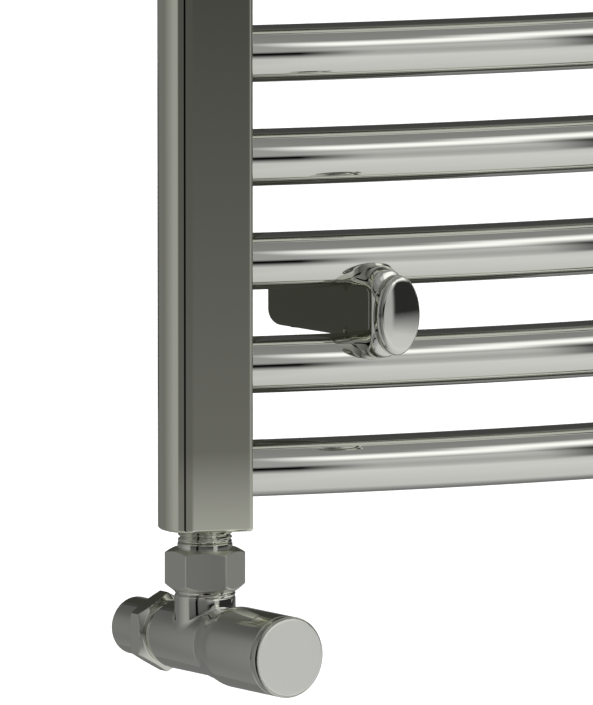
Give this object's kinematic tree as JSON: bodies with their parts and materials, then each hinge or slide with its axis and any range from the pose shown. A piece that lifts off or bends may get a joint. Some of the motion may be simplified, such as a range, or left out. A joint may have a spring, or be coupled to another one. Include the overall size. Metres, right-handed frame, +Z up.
{
  "type": "radiator with valve",
  "caption": "Wall-hung towel radiator: bowed chrome crossbars between two D-section uprights, fed through angled valves below, held by clamp brackets on wall posts.",
  "frame": {"origin": "centre of the rectangle of the four wall-screw holes, in the plane of the posts' rear ends, which meet the wall in use", "axes": "+X along the width, +Y towards the wall, +Z up; the valve handle points to -Y, into the room"},
  "size_m": [0.5002, 0.108, 1.2679],
  "materials": {
    "chrome_bar": "polished chrome plate on steel tube",
    "chrome_upright": "polished chrome plate on steel tube",
    "chrome_bracket": "polished chrome plate on die-cast zinc",
    "chrome_valve": "chrome plate on brass",
    "chrome_handle": "chrome plate on moulded ABS",
    "chrome_disc": "fine satin chrome plate",
    "zinc_steel": "zinc plated steel",
    "bare_brass": "turned brass",
    "black_rubber": "moulded nitrile rubber",
    "red_fibre": "vulcanised fibre washer",
    "white_nylon": "moulded nylon"
  },
  "bodies": {
    "wall_fixings": {"wall_posts": "zinc_steel"},
    "radiator": {"bar_01": "chrome_bar", "bar_02": "chrome_bar", "bar_03": "chrome_bar", "bar_04": "chrome_bar", "bar_05": "chrome_bar", "bar_06": "chrome_bar", "bar_07": "chrome_bar", "bar_08": "chrome_bar", "bar_09": "chrome_bar", "bar_10": "chrome_bar", "bar_11": "chrome_bar", "bar_12": "chrome_bar", "bar_13": "chrome_bar", "bar_14": "chrome_bar", "bar_15": "chrome_bar", "bar_16": "chrome_bar", "bar_17": "chrome_bar", "bar_18": "chrome_bar", "bar_19": "chrome_bar", "bar_20": "chrome_bar", "bar_21": "chrome_bar", "bar_22": "chrome_bar", "blanking_plug": "chrome_valve", "bonnet_seals": "red_fibre", "bonnets": "bare_brass", "bracket_caps": "chrome_bracket", "bracket_sleeves": "chrome_bracket", "clamp_bolts": "zinc_steel", "compression_nuts": "chrome_valve", "end_cap_bottom_left": "chrome_upright", "end_cap_bottom_right": "chrome_upright", "end_cap_top_left": "chrome_upright", "end_cap_top_right": "chrome_upright", "front_clamps": "chrome_bracket", "grub_screws": "zinc_steel", "olives": "bare_brass", "spindle_seals": "black_rubber", "top_seals": "black_rubber", "union_nuts": "chrome_valve", "union_seals": "red_fibre", "union_tails": "chrome_valve", "upright_left": "chrome_upright", "upright_right": "chrome_upright", "valve_body_left": "chrome_valve", "valve_body_right": "chrome_valve", "vent_body": "chrome_valve"},
    "handle": {"handle": "chrome_handle", "handle_disc": "chrome_disc", "handle_insert": "white_nylon", "handle_screw": "zinc_steel", "spindle_left": "bare_brass"},
    "left_plug": {"valve_plug_left": "bare_brass", "plug_washer_left": "black_rubber"},
    "lockshield_cover": {"lockshield_cover": "chrome_handle"},
    "lockshield_spindle": {"spindle_right": "bare_brass"},
    "right_plug": {"valve_plug_right": "bare_brass", "plug_washer_right": "black_rubber"},
    "bleed_screw": {"bleed_screw": "bare_brass"}
  },
  "joints": [
    {"name": "wall_distance", "type": "slide", "parent": "wall_fixings", "child": "radiator", "axis": [0, -1, 0], "range_m": [0, 0.026]},
    {"name": "handle_turn", "type": "hinge", "parent": "radiator", "child": "handle", "pos_m": [-0.232, -0.0358, -0.6433], "axis": [0, -1, 0], "range_deg": [0, 720]},
    {"name": "left_plug_lift", "type": "slide", "parent": "radiator", "child": "left_plug", "axis": [0, -1, 0], "range_m": [0, 0.0041]},
    {"name": "lockshield_turn", "type": "hinge", "parent": "radiator", "child": "lockshield_spindle", "pos_m": [0.232, -0.0358, -0.6433], "axis": [0, -1, 0], "range_deg": [0, 721]},
    {"name": "right_plug_lift", "type": "slide", "parent": "radiator", "child": "right_plug", "axis": [0, -1, 0], "range_m": [0, 0.004]},
    {"name": "cover_pull", "type": "slide", "parent": "radiator", "child": "lockshield_cover", "axis": [0, -1, 0], "range_m": [0, 0.05]},
    {"name": "bleed_turn", "type": "hinge", "parent": "radiator", "child": "bleed_screw", "pos_m": [-0.232, -0.0358, 0.6], "axis": [0, 0, 1], "range_deg": [0, 360]}
  ],
  "couplings": [
    {"joint": "left_plug_lift", "follows": "handle_turn", "m_per_rad": 0.00031831},
    {"joint": "lockshield_turn", "follows": "right_plug_lift", "rad_per_m": 3141.6}
  ]
}
